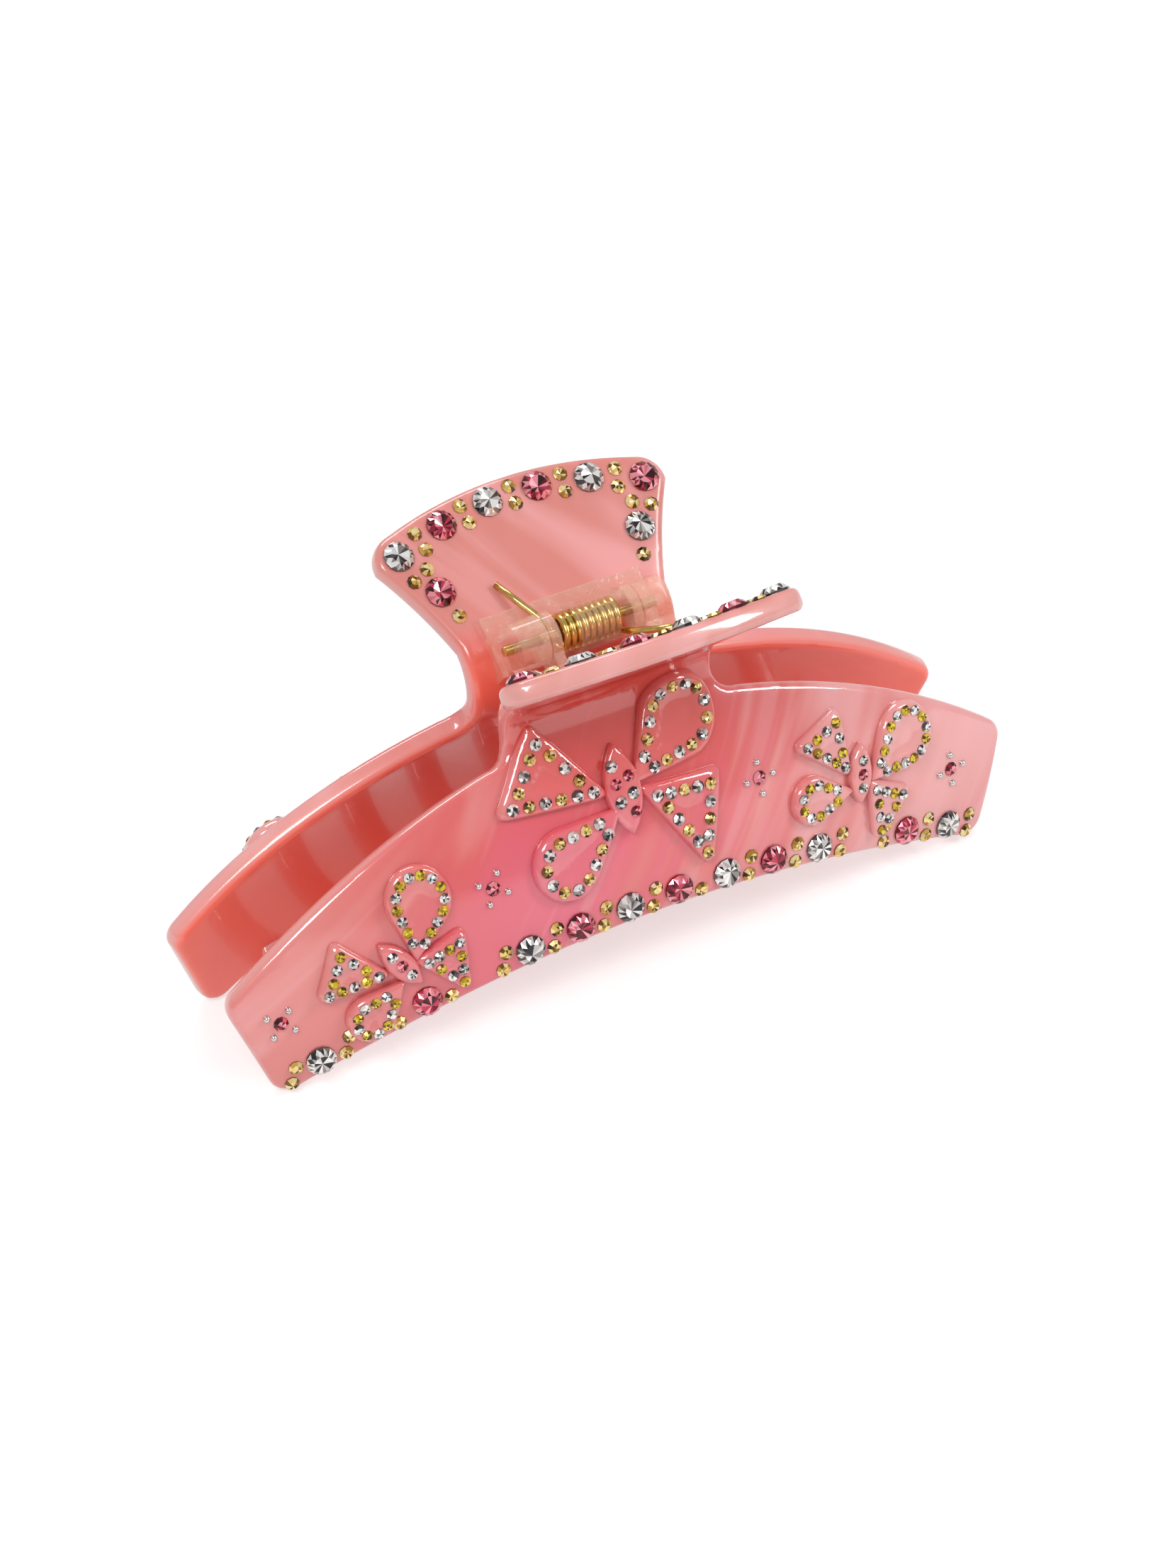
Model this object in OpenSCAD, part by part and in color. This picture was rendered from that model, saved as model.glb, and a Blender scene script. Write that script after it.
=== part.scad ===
// Claw hair clip: two identical acetate halves, one turned half a turn about Z, on a sprung pin.
// Frame: X along the clip, Y from the front half to the back half, Z up with the handles on top.
// u is the distance outwards from the middle plane, so a section is drawn in (u, z).

/* [Jaws] */
// Thickness of the acetate plate
plate_t = 2.8; // [2.4:0.1:3]
// Half length of a jaw at its upper corners
jaw_half = 53; // [52:0.5:54]
// Half length of a jaw at its lower corners
foot_half = 48.2; // [47:0.5:49]
// Height of the upper corners
corner_z = 13.15; // [13:0.05:13.3]
// Top of the upper edge's arc
jaw_top = 32.95; // [32.9:0.05:33]
// Radius of the upper edge's arc
top_arc_r = 81; // [80:0.5:82]
// Top of the lower edge's arc
arch_z = 9.6; // [9.6:0.05:9.7]
// Radius of the lower edge's arc
arch_arc_r = 120; // [118:1:122]
// Outer radius of the jaw's section
shell_r = 57; // [56:0.5:58]
// Height of the widest line of the section
shell_z = 0.9; // [0.85:0.05:0.95]
// Distance of that line from the middle plane
shell_reach = 15.5; // [15:0.1:16]
// Radius of the jaw's bow seen from above
plan_r = 250; // [240:5:260]
// Radius of the rounded jaw corners
corner_r = 2.5; // [2:0.1:3]

/* [Neck and handle] */
// Angle up the section where the neck begins
neck_angle = 33; // [32.5:0.1:33.4]
// Outer radius of the neck's bend
bend_r = 5; // [4.8:0.1:5.2]
// Half width of the neck
neck_half = 13.8; // [13:0.1:14.5]
// Lean of a handle from upright
handle_lean = 50; // [49:0.5:51]
// Height of a handle along its own slope
handle_len = 17.9; // [17:0.1:18.5]
// Half width of a handle at its tip
handle_half = 19.3; // [19:0.1:19.6]
// Radius of a handle's tip arc
tip_arc_r = 62; // [60:1:64]

/* [Teeth] */
// Distance between a half's teeth
tooth_pitch = 9; // [8.8:0.1:9.2]
// Width of a tooth
tooth_w = 3.8; // [3.4:0.1:3.9]
// Outer radius of a tooth's curl
tooth_r = 16; // [15.5:0.1:16.2]
// Thickness of a tooth
tooth_t = 2.6; // [2.2:0.1:2.8]
// How far a tooth passes the middle plane
tooth_cross = 2.5; // [1:0.1:2.6]

/* [Hinge] */
// Height of the pin's axis
pin_z = 42.15; // [42.1:0.05:42.2]
// Radius of the pin
pin_r = 0.65; // [0.6:0.05:0.7]
// Radial clearance of the running knuckles
pin_play = 0.05; // [0.02:0.01:0.08]
// Outer radius of a knuckle
knuckle_r = 3; // [2.9:0.05:3.1]
// Thickness of a hinge block's base
base_t = 1; // [0.8:0.05:1.1]
// Half length of a hinge block's base
base_half = 10.6; // [10.4:0.1:11]
// Radius of the spring wire
wire_r = 0.43; // [0.4:0.01:0.45]
// Turns of the spring coil, an even number
coil_turns = 10; // [8:2:10]
// Mean radius of the spring coil
coil_r = 1.95; // [1.9:0.01:1.98]

/* [Stones] */
// Radius of a large stone
large_r = 1.85; // [1.7:0.05:1.9]
// Radius of a small stone in the rows
small_r = 0.9; // [0.8:0.05:0.95]
// Radius of a stone on the large bow
bow_stone_r = 0.78; // [0.7:0.01:0.8]
// Radius of a stone on a small bow
tiny_stone_r = 0.68; // [0.6:0.01:0.72]
// Radius of a star's bead
bead_r = 0.42; // [0.35:0.01:0.45]
// Height of a bow above the plate
bow_t = 1.2; // [1:0.1:1.4]

/* [Hidden] */
$fn = 96;
sink = 0.25;

// Section geometry, all in (u, z)
shell_cu = shell_reach - shell_r;
bend_c = [shell_cu + (shell_r + bend_r) * cos(neck_angle), shell_z + (shell_r + bend_r) * sin(neck_angle)];
slope = [sin(handle_lean), cos(handle_lean)];
inward = [-cos(handle_lean), sin(handle_lean)];
face_start = bend_c + (bend_r + plate_t) * inward;
pin_foot = ([0, pin_z] - face_start) * slope;
pin_lift = ([0, pin_z] - face_start) * inward;
neck_z = shell_z + shell_r * sin(neck_angle);

// Each hinge block has an outer knuckle on one side and an inner one on the other
outer_from = 6.2;
outer_to = 9.9;
inner_from = 4.7;
inner_to = 6;
block_foot = -5.3;

// Heights and surface directions at a place on the outer surface
function drop(r, x) = r - sqrt(r * r - x * x);
function top_z(x) = jaw_top - drop(top_arc_r, x);
function low_z(x) = arch_z - drop(arch_arc_r, x);
function lean_at(z) = z < neck_z
    ? asin((z - shell_z) / shell_r)
    : asin((bend_c[1] - z) / bend_r);
function ring_at(z) = z < neck_z
    ? plan_r - shell_r + shell_r * cos(lean_at(z))
    : plan_r - shell_reach + bend_c[0] - bend_r * cos(lean_at(z));
function turn_at(x, z) = asin(x / ring_at(z));
function u_at(x, z) = ring_at(z) * cos(turn_at(x, z)) - plan_r + shell_reach;

// Places its children on the front half's outer surface, at (x, z)
module on_jaw(x, z, lift = 0) {
    translate([x, -u_at(x, z), z])
        rotate([90 - lean_at(z), 0, turn_at(x, z)])
            translate([0, 0, lift])
                children();
}

// Places its children on the front handle's inner face, x across and s up the slope
module on_handle(x, s) {
    spot = face_start + s * slope;
    bow = plan_r - shell_reach + spot[0];
    translate([x, -spot[0] + drop(bow, x), spot[1]])
        rotate([handle_lean - 90, 0, asin(x / bow)])
            children();
}

// Turns (s, h), up the handle's slope and off its face, into (u, z)
module slope_map() {
    translate(face_start)
        rotate(90 - handle_lean)
            children();
}

// Turns the front half's geometry into the back half's
module as_back() {
    rotate([0, 0, 180])
        children();
}

// Draws a (u, z) section as a bar across X on the front side
module across(half_w) {
    translate([half_w, 0, 0])
        rotate([90, 0, -90])
            linear_extrude(2 * half_w)
                children();
}

// Draws an (x, z) outline as a bar along Y on the front side
module along(depth) {
    rotate([90, 0, 0])
        linear_extrude(depth)
            children();
}

// Material to take away at a sharp corner so that it is rounded
module corner_waste(at, a, b, r) {
    da = a / norm(a);
    db = b / norm(b);
    half = acos(da * db) / 2;
    mid = (da + db) / norm(da + db);
    centre = at + mid * r / sin(half);
    reach = r / tan(half);
    difference() {
        polygon([at - mid * 0.3, at + da * reach, centre, at + db * reach]);
        translate(centre)
            circle(r);
    }
}

// ---- Acetate halves ----

// Part of the jaw's ring between two offsets from the outer surface
module ring_section(inner, outer) {
    difference() {
        translate([shell_cu, shell_z])
            circle(shell_r + outer);
        translate([shell_cu, shell_z])
            circle(shell_r + inner);
        translate([-200, -100])
            square([200, 200]);
        translate([-10, -100])
            square([60, 99]);
        translate([shell_cu, shell_z])
            polygon([[0, 0], 90 * [cos(neck_angle), sin(neck_angle)], [60, 90], [-90, 90], [-90, 0]]);
    }
}

// The neck's bend, from the end of the ring to the foot of the handle
module bend_section(inner, outer) {
    reach = 12;
    intersection() {
        difference() {
            translate(bend_c)
                circle(bend_r - inner);
            translate(bend_c)
                circle(bend_r - outer);
        }
        translate(bend_c)
            polygon([
                [0, 0],
                reach * inward,
                reach * 1.2 * [-cos(20), sin(20)],
                reach * 1.2 * [-cos(10), -sin(10)],
                -reach * [cos(neck_angle), sin(neck_angle)]
            ]);
    }
}

// The flat of the handle between two places up its slope
module flat_section(from, to) {
    slope_map()
        translate([from, -plate_t])
            square([to - from, plate_t]);
}

// Revolves a section about the centre of the jaw's bow
module bowed() {
    span = 32;
    translate([0, plan_r - shell_reach, 0])
        rotate([0, 0, -90 - span / 2])
            rotate_extrude(angle = span, $fn = 720)
                translate([plan_r - shell_reach, 0])
                    children();
}

module jaw_outline() {
    end_slope = (jaw_half - foot_half) / corner_z;
    tall = 40;
    foot_z = low_z(foot_half);
    up = [end_slope, 1];
    difference() {
        intersection() {
            translate([0, jaw_top - top_arc_r])
                circle(top_arc_r);
            polygon([
                [-foot_half - end_slope * tall, tall],
                [foot_half + end_slope * tall, tall],
                [foot_half, 0],
                [-foot_half, 0]
            ]);
        }
        translate([0, arch_z - arch_arc_r])
            circle(arch_arc_r);
        for (side = [-1, 1]) {
            corner_waste(
                [side * jaw_half, corner_z],
                [-side * 1, jaw_half / (top_arc_r - drop(top_arc_r, jaw_half))],
                [-side * up[0], -up[1]],
                corner_r
            );
            corner_waste(
                [side * (foot_half + end_slope * foot_z), foot_z],
                [side * up[0], up[1]],
                [-side * 1, foot_half / (arch_arc_r - drop(arch_arc_r, foot_half))],
                corner_r
            );
        }
    }
}

module handle_outline() {
    tip_r = 3.2;
    tip_fall = 0.32;
    shoulder = 12;
    side_r = 60;
    neck_overlap = 2.5;
    side_mid = [(neck_half + handle_half) / 2, shoulder / 2];
    side_run = [handle_half - neck_half, shoulder];
    side_out = [side_run[1], -side_run[0]] / norm(side_run);
    side_c = side_mid + side_out * sqrt(side_r * side_r - norm(side_run) * norm(side_run) / 4);
    difference() {
        intersection() {
            translate([0, handle_len - tip_arc_r])
                circle(tip_arc_r);
            polygon([
                [-neck_half, 0],
                [-neck_half, -neck_overlap],
                [neck_half, -neck_overlap],
                [neck_half, 0],
                [handle_half, shoulder],
                [handle_half, handle_len],
                [-handle_half, handle_len],
                [-handle_half, shoulder]
            ]);
        }
        for (side = [-1, 1]) {
            corner_waste(
                [side * handle_half, handle_len - drop(tip_arc_r, handle_half)],
                [-side, tip_fall],
                [0, -1],
                tip_r
            );
            translate([side * side_c[0], side_c[1]])
                circle(side_r);
        }
    }
}

module tooth(x) {
    z = low_z(x);
    bite = 0.4;
    rise = 50;
    low = 8;
    high = 0.6;
    root = [u_at(x, z) - bite, z + bite];
    centre = root + tooth_r * [-cos(rise), sin(rise)];
    depth = root[0] + tooth_cross;
    translate([x, 0, 0])
        intersection() {
            across(tooth_w / 2)
                intersection() {
                    difference() {
                        translate(centre)
                            circle(tooth_r);
                        translate(centre)
                            circle(tooth_r - tooth_t);
                    }
                    translate([-tooth_cross, z - low])
                        square([depth, low + high]);
                }
            linear_extrude(40)
                union() {
                    translate([0, tooth_cross - tooth_w / 2])
                        circle(tooth_w / 2);
                    translate([-tooth_w / 2, -30])
                        square([tooth_w, 30 + tooth_cross - tooth_w / 2]);
                }
        }
}

module neck_fillets() {
    fillet_r = 3;
    into_neck = 1;
    into_jaw = 0.3;
    below = 1.5;
    side_z = top_z(neck_half + fillet_r);
    for (side = [-1, 1])
        difference() {
            translate([side * neck_half - (side > 0 ? into_neck : fillet_r), side_z - below])
                square([fillet_r + into_neck, fillet_r + below - into_jaw]);
            translate([side * (neck_half + fillet_r), side_z + fillet_r - into_jaw])
                circle(fillet_r);
        }
}

module jaw() {
    intersection() {
        bowed()
            ring_section(-plate_t, 0);
        along(40) {
            jaw_outline();
            neck_fillets();
        }
    }
}

module neck() {
    intersection() {
        bowed() {
            bend_section(-plate_t, 0);
            flat_section(-0.3, 1);
        }
        along(40)
            translate([-neck_half, neck_z - 4])
                square([2 * neck_half, 20]);
    }
}

module handle() {
    depth = 8;
    intersection() {
        bowed()
            flat_section(0.5, handle_len + 1);
        on_handle(0, 0)
            rotate([0, 0, 180])
                translate([0, 0, -depth / 2])
                    linear_extrude(depth)
                        handle_outline();
    }
}

module half() {
    color("#E8817B")
        union() {
            jaw();
            neck();
            handle();
            for (i = [-4:4])
                tooth(tooth_pitch * (i + 0.25));
        }
}

module front_half() {
    half();
}

module back_half() {
    as_back()
        half();
}

// ---- Hinge: two clear blocks, each with an outer and an inner knuckle, a pin and a spring ----

module block_section() {
    head = 2.2;
    heel = [-3, -2.6];
    heel_end = [block_foot, -2.06];
    difference() {
        slope_map()
            polygon([[block_foot, base_t], [head, base_t], [head, 0], [0, 0], heel, heel_end]);
        translate(bend_c)
            circle(bend_r + plate_t);
    }
}

module web_section() {
    half_w = 2.1;
    web_foot = base_t - 0.3;
    slope_map()
        polygon([
            [block_foot + 0.2, web_foot],
            [pin_foot + half_w, web_foot],
            [pin_foot + half_w, pin_lift],
            [pin_foot - half_w, pin_lift]
        ]);
}

module knuckle(from, to, bore_r) {
    translate([(from + to) / 2, 0, 0])
        difference() {
            union() {
                translate([-(to - from) / 2, 0, pin_z])
                    rotate([0, 90, 0])
                        cylinder(h = to - from, r = knuckle_r);
                across((to - from) / 2)
                    web_section();
            }
            translate([-20, 0, pin_z])
                rotate([0, 90, 0])
                    cylinder(h = 40, r = bore_r);
        }
}

module block(bore_r) {
    union() {
        across(base_half)
            block_section();
        knuckle(outer_from, outer_to, bore_r);
        knuckle(-inner_to, -inner_from, bore_r);
    }
}

module front_hinge_block() {
    color("#F6DCCB", 0.5)
        block(pin_r + pin_play);
}

// The thin cover over the spring coil, open where the front half's wire swings
module coil_cover() {
    cover_to = 2;
    cover_t = 0.4;
    window_x = 3;
    window_low = [-3.6, -2.1];
    window_high = [-0.8, 3.6];
    window = window_high - window_low;
    translate([0, 0, pin_z])
        difference() {
            translate([-cover_to, 0, 0])
                rotate([0, 90, 0])
                    cylinder(h = cover_to + inner_from, r = knuckle_r);
            translate([-cover_to - 1, 0, 0])
                rotate([0, 90, 0])
                    cylinder(h = cover_to + 1 + inner_from, r = knuckle_r - cover_t);
            translate([window_x, window_low[0], window_low[1]])
                cube([inner_from - window_x, window[0], window[1]]);
        }
}

module back_hinge_block() {
    color("#F6DCCB", 0.5)
        union() {
            as_back()
                block(pin_r);
            coil_cover();
        }
}

module hinge_pin() {
    tail = 10.9;
    head = 9;
    color("#C9A24A")
        translate([-tail, 0, pin_z])
            rotate([0, 90, 0])
                cylinder(h = tail + head, r = pin_r);
}

// A straight length of spring wire
module wire(from, to) {
    run = to - from;
    translate(from)
        rotate([0, acos(run[2] / norm(run)), atan2(run[1], run[0])])
            cylinder(h = norm(run), r = wire_r, $fn = 24);
}

// One half of the spring: closed turns from the middle outwards, then a leg that leaves the coil
// square, bends past the other half's knuckle and lies along the handle
module spring_arm() {
    gap = 0.04;
    arm_x = 6.8;
    arm_s = 5.6;
    lift = 0.12;
    pitch = 2 * wire_r;
    turns = coil_turns / 2;
    end_x = pitch * turns;
    knee_run = 3;
    fuse = 1.03;
    tip = face_start + arm_s * slope + (wire_r + lift) * inward;
    start = [0, pin_z] - coil_r * inward;
    knee = start + knee_run * (tip - start) / norm(tip - start);
    leg_x = end_x - wire_r;
    color("#D2A93F")
        union() {
            for (i = [0:turns - 1])
                translate([gap + wire_r + i * (pitch - gap / turns), 0, pin_z])
                    rotate([0, 90, 0])
                        rotate_extrude($fn = 48)
                            translate([coil_r, 0])
                                circle(wire_r * fuse, $fn = 24);
            wire([leg_x, -start[0], start[1]], [leg_x, -knee[0], knee[1]]);
            translate([leg_x, -knee[0], knee[1]])
                sphere(wire_r * fuse, $fn = 24);
            wire([leg_x, -knee[0], knee[1]], [arm_x, -tip[0], tip[1]]);
        }
}

module spring_front_arm() {
    spring_arm();
}

module spring_back_arm() {
    as_back()
        spring_arm();
}

// ---- Stones and beads ----

// A foil-backed chaton seated in the plate, its origin on the surface
module stone(r) {
    rotate_extrude($fn = 24)
        polygon([[0, -0.4 * r], [r, -0.1 * r], [r, 0.12 * r], [0.55 * r, 0.5 * r], [0, 0.5 * r]]);
}

// The row along a jaw's lower edge: one place per letter, a point is a place left out
row_code = "c.p.cpcpcpc.pc";
row_pitch = 6.6;
row_rise = 2.2;
row_first = -row_pitch * (len(row_code) - 1) / 2;

function row_x(i) = row_first + row_pitch * i;

module row_stones(letter) {
    for (i = [0:len(row_code) - 1])
        if (row_code[i] == letter)
            on_jaw(row_x(i), low_z(row_x(i)) + row_rise)
                stone(large_r);
}

// Small stones sit in pairs between the places: b both, u upper, l lower
gold_code = "bbllbbbblbbbbbb";
upper_gold = [0.3, 1.1];
lower_gold = [-0.3, -1];

module row_gold() {
    for (i = [0:len(gold_code) - 1]) {
        x = row_x(i) - row_pitch / 2;
        z = low_z(x) + row_rise;
        if (gold_code[i] != "l")
            on_jaw(x + upper_gold[0], z + upper_gold[1])
                stone(small_r);
        if (gold_code[i] != "u")
            on_jaw(x + lower_gold[0], z + lower_gold[1])
                stone(small_r);
    }
}

// Stones round the handle: a tip arc of six, then one down each side
handle_arc_r = 50;
handle_arc_top = 15.5;
handle_pitch = 6.55;
side_large = [13.3, 7.1];
side_gold = [[15.8, 9.3], [13.7, 10.2], [12.3, 3.7]];

module handle_large(first) {
    for (i = [0:5])
        if (i % 2 == first) {
            x = handle_pitch * (i - 2.5);
            on_handle(x, handle_arc_top - drop(handle_arc_r, x))
                stone(large_r);
        }
    on_handle(first == 0 ? side_large[0] : -side_large[0], side_large[1])
        stone(large_r);
}

module handle_gold() {
    for (i = [0:4]) {
        x = handle_pitch * (i - 2);
        s = handle_arc_top - drop(handle_arc_r, x);
        on_handle(x * 1.02, s + 0.9)
            stone(small_r);
        on_handle(x * 0.98, s - 1.3)
            stone(small_r);
    }
    for (side = [-1, 1])
        for (spot = side_gold)
            on_handle(side * spot[0], spot[1])
                stone(small_r);
}

// ---- Bows: clear raised ribbons with stones round their loops and tails ----
// A loop is [knot end, centre of its round end, radius there, stones]. A tail is three corners,
// each with the number of stones from there up to the next.
// Both give the line that the stones follow, in the bow's own (x, z), with its knot at [0, 0].

small_loops = [[[2.2, -0.5], [6.8, 3.2], 2.9, 15], [[-2.2, -1.7], [-6.9, -2], 1.9, 10]];
small_tails = [
    [[[-2.6, 1.3], 3], [[-3.7, 6.4], 3], [[-7.9, 4.2], 4]],
    [[[2.2, -2.3], 3], [[3.2, -7.4], 3], [[6.2, -3.6], 3]]
];
large_loops = [[[2.4, 1], [9.2, 5.6], 3.5, 15], [[-2, -2.2], [-8.8, -6], 2.9, 13]];
large_tails = [
    [[[-3.9, 0.9], 4], [[-9.2, 7.4], 4], [[-14, 1.7], 5]],
    [[[3.8, -1.7], 5], [[8.8, -9.9], 4], [[10.8, -2.5], 4]]
];
small_knot = [[0, 1.6], [0, 0], [0, -1.6]];
small_knot_code = "cpc";
large_knot = [[-1, 2.8], [0.8, 1.4], [-1, 0.9], [0.9, -0.5], [-0.9, -1.1], [0.7, -2.5]];
large_knot_code = "cppccp";

function unit(v) = v / norm(v);
function turned(p, a) = [p[0] * cos(a) - p[1] * sin(a), p[0] * sin(a) + p[1] * cos(a)];

// A point at the distance run round a loop, whose first and last stones stay a stone apart
function loop_point(loop, i, r_stone) =
    let (
        axis = loop[1] - loop[0],
        d = norm(axis),
        r = loop[2],
        tangent = sqrt(d * d - r * r),
        side = asin(r / d),
        arc = 180 + 2 * side,
        arc_len = arc / 180 * PI * r,
        first = 1.04 * r_stone / sin(side),
        run = first + i / (loop[3] - 1) * (2 * tangent + arc_len - 2 * first),
        aim = atan2(axis[1], axis[0])
    )
    run < tangent
        ? loop[0] + run * [cos(aim - side), sin(aim - side)]
        : run > tangent + arc_len
            ? loop[0] + (2 * tangent + arc_len - run) * [cos(aim + side), sin(aim + side)]
            : loop[1] + r * [
                cos(aim - side - 90 + (run - tangent) / arc_len * arc),
                sin(aim - side - 90 + (run - tangent) / arc_len * arc)
            ];

function loop_spots(loop, r_stone) = [for (i = [0:loop[3] - 1]) loop_point(loop, i, r_stone)];

function tail_spots(tail) = [
    for (k = [0:2])
        for (i = [0:tail[k][1] - 1])
            tail[k][0] + i / tail[k][1] * (tail[(k + 1) % 3][0] - tail[k][0])
];

module loop_outline(loop, rim) {
    axis = loop[1] - loop[0];
    far = norm(axis);
    r = loop[2] + rim;
    side = asin(r / (far + rim));
    aim = atan2(axis[1], axis[0]);
    translate(loop[1])
        circle(r);
    translate(loop[1])
        rotate(aim)
            polygon([[-far - rim, 0], [-r * sin(side), -r * cos(side)], [-r * sin(side), r * cos(side)]]);
}

module tail_outline(tail, rim) {
    corner_rim = 1.9 * rim;
    middle = (tail[0][0] + tail[1][0] + tail[2][0]) / 3;
    polygon([for (i = [0:2]) tail[i][0] + unit(tail[i][0] - middle) * corner_rim]);
}

module knot_outline(long, wide) {
    r = (long * long + wide * wide) / (2 * wide);
    intersection() {
        translate([r - wide, 0])
            circle(r);
        translate([wide - r, 0])
            circle(r);
    }
}

module bow_outline(loops, tails, rim, knot) {
    for (loop = loops)
        loop_outline(loop, rim);
    for (tail = tails)
        tail_outline(tail, rim);
    knot_outline(knot[0], knot[1]);
}

// Cuts a bow's outline, its second child, out of a bowed section, its first child
module raised(bow) {
    intersection() {
        bowed()
            children(0);
        along(40)
            translate(bow[0])
                rotate(bow[1])
                    children(1);
    }
}

// The stones of one bow: even places are clear, odd places are coloured
module bow_stones(bow, loops, tails, letter, r) {
    parity = letter == "c" ? 0 : 1;
    lines = concat([for (loop = loops) loop_spots(loop, r)], [for (tail = tails) tail_spots(tail)]);
    for (line = lines)
        for (i = [parity:2:len(line) - 1]) {
            spot = bow[0] + turned(line[i], bow[1]);
            on_jaw(spot[0], spot[1], bow_t)
                stone(r);
        }
}

module knot_stones(bow, knot, code, letter, r) {
    for (i = [0:len(code) - 1])
        if (code[i] == letter) {
            spot = bow[0] + turned(knot[i], bow[1]);
            on_jaw(spot[0], spot[1], bow_t)
                stone(r);
        }
}

large_bow = [[-1.6, 25.35], 0];
left_bow = [[-32.3, 13.85], 37];
right_bow = [[29.9, 16.6], -10.6];
large_rim = 1.4;
small_rim = 1.1;
large_knot_size = [5, 2.3];
small_knot_size = [3.6, 1.6];

module large_bow_body() {
    color("#F3A09C", 0.7)
        union() {
            raised(large_bow) {
                ring_section(-sink, bow_t);
                bow_outline(large_loops, large_tails, large_rim, large_knot_size);
            }
            raised(large_bow) {
                bend_section(-sink, bow_t);
                bow_outline(large_loops, large_tails, large_rim, large_knot_size);
            }
        }
}

module small_bow_body(bow) {
    color("#F3A09C", 0.7)
        raised(bow) {
            ring_section(-sink, bow_t);
            bow_outline(small_loops, small_tails, small_rim, small_knot_size);
        }
}

module large_bow_stones(letter) {
    bow_stones(large_bow, large_loops, large_tails, letter, bow_stone_r);
    if (letter == "c")
        knot_stones(large_bow, large_knot, large_knot_code, letter, bow_stone_r);
}

module small_bow_stones(letter) {
    for (bow = [left_bow, right_bow]) {
        bow_stones(bow, small_loops, small_tails, letter, tiny_stone_r);
        if (letter == "c")
            knot_stones(bow, small_knot, small_knot_code, letter, tiny_stone_r);
    }
}

module knot_pink_stones() {
    knot_stones(large_bow, large_knot, large_knot_code, "p", bow_stone_r);
    for (bow = [left_bow, right_bow])
        knot_stones(bow, small_knot, small_knot_code, "p", bow_stone_r);
}

// ---- Stars: a pink stone with four beads ----
stars = [[-46.9, 9.95, 10], [-19.7, 19.25, 20], [16.3, 20.95, 45], [43.9, 11.25, 45]];

module star_stones() {
    color("#D8537A")
        for (star = stars)
            on_jaw(star[0], star[1])
                stone(small_r);
}

module star_beads() {
    reach = 1.85;
    color("#D9D9DC")
        for (star = stars)
            for (i = [0:3]) {
                a = star[2] + 45 + 90 * i;
                on_jaw(star[0] + reach * cos(a), star[1] + reach * sin(a), 0.1)
                    sphere(bead_r, $fn = 24);
            }
}

front_half();
back_half();
front_hinge_block();
back_hinge_block();
hinge_pin();
spring_front_arm();
spring_back_arm();
large_bow_body();  // front_large_bow
small_bow_body(left_bow);  // front_left_bow
small_bow_body(right_bow);  // front_right_bow
as_back() large_bow_body();  // back_large_bow
as_back() small_bow_body(left_bow);  // back_left_bow
as_back() small_bow_body(right_bow);  // back_right_bow
color("#E8ECF0") row_stones("c");  // front_row_clear_stones
color("#D8537A") row_stones("p");  // front_row_pink_stones
color("#E3CE8A") row_gold();  // front_row_gold_stones
color("#E8ECF0") as_back() row_stones("c");  // back_row_clear_stones
color("#D8537A") as_back() row_stones("p");  // back_row_pink_stones
color("#E3CE8A") as_back() row_gold();  // back_row_gold_stones
color("#E8ECF0") handle_large(1);  // front_handle_clear_stones
color("#D8537A") handle_large(0);  // front_handle_pink_stones
color("#E3CE8A") handle_gold();  // front_handle_gold_stones
color("#E8ECF0") as_back() handle_large(1);  // back_handle_clear_stones
color("#D8537A") as_back() handle_large(0);  // back_handle_pink_stones
color("#E3CE8A") as_back() handle_gold();  // back_handle_gold_stones
color("#E8ECF0") large_bow_stones("c");  // front_large_bow_clear_stones
color("#E3CE8A") large_bow_stones("g");  // front_large_bow_gold_stones
color("#E8ECF0") small_bow_stones("c");  // front_small_bow_clear_stones
color("#D9C23A") small_bow_stones("g");  // front_small_bow_yellow_stones
color("#D8537A") knot_pink_stones();  // front_knot_pink_stones
color("#E8ECF0") as_back() large_bow_stones("c");  // back_large_bow_clear_stones
color("#E3CE8A") as_back() large_bow_stones("g");  // back_large_bow_gold_stones
color("#E8ECF0") as_back() small_bow_stones("c");  // back_small_bow_clear_stones
color("#D9C23A") as_back() small_bow_stones("g");  // back_small_bow_yellow_stones
color("#D8537A") as_back() knot_pink_stones();  // back_knot_pink_stones
star_stones();  // front_star_stones
star_beads();  // front_star_beads
as_back() star_stones();  // back_star_stones
as_back() star_beads();  // back_star_beads
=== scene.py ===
import math
import random

import bmesh
import bpy
from mathutils import Matrix, Vector


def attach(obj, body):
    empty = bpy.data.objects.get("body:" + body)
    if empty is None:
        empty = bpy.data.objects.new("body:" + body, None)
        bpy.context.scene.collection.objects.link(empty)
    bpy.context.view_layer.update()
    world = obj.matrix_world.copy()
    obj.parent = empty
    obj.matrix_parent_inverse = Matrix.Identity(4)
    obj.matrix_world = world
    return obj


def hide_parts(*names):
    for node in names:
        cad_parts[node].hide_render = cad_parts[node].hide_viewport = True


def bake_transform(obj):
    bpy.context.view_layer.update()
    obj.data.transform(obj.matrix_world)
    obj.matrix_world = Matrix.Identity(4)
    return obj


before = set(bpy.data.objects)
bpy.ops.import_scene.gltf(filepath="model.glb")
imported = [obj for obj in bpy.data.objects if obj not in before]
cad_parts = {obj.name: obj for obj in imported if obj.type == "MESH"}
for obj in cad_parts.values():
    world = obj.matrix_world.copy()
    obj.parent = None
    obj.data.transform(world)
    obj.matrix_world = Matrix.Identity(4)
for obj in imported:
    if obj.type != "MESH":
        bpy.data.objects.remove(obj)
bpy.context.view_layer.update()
print("frame loaded")

mm = 0.001
random.seed(11)

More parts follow.
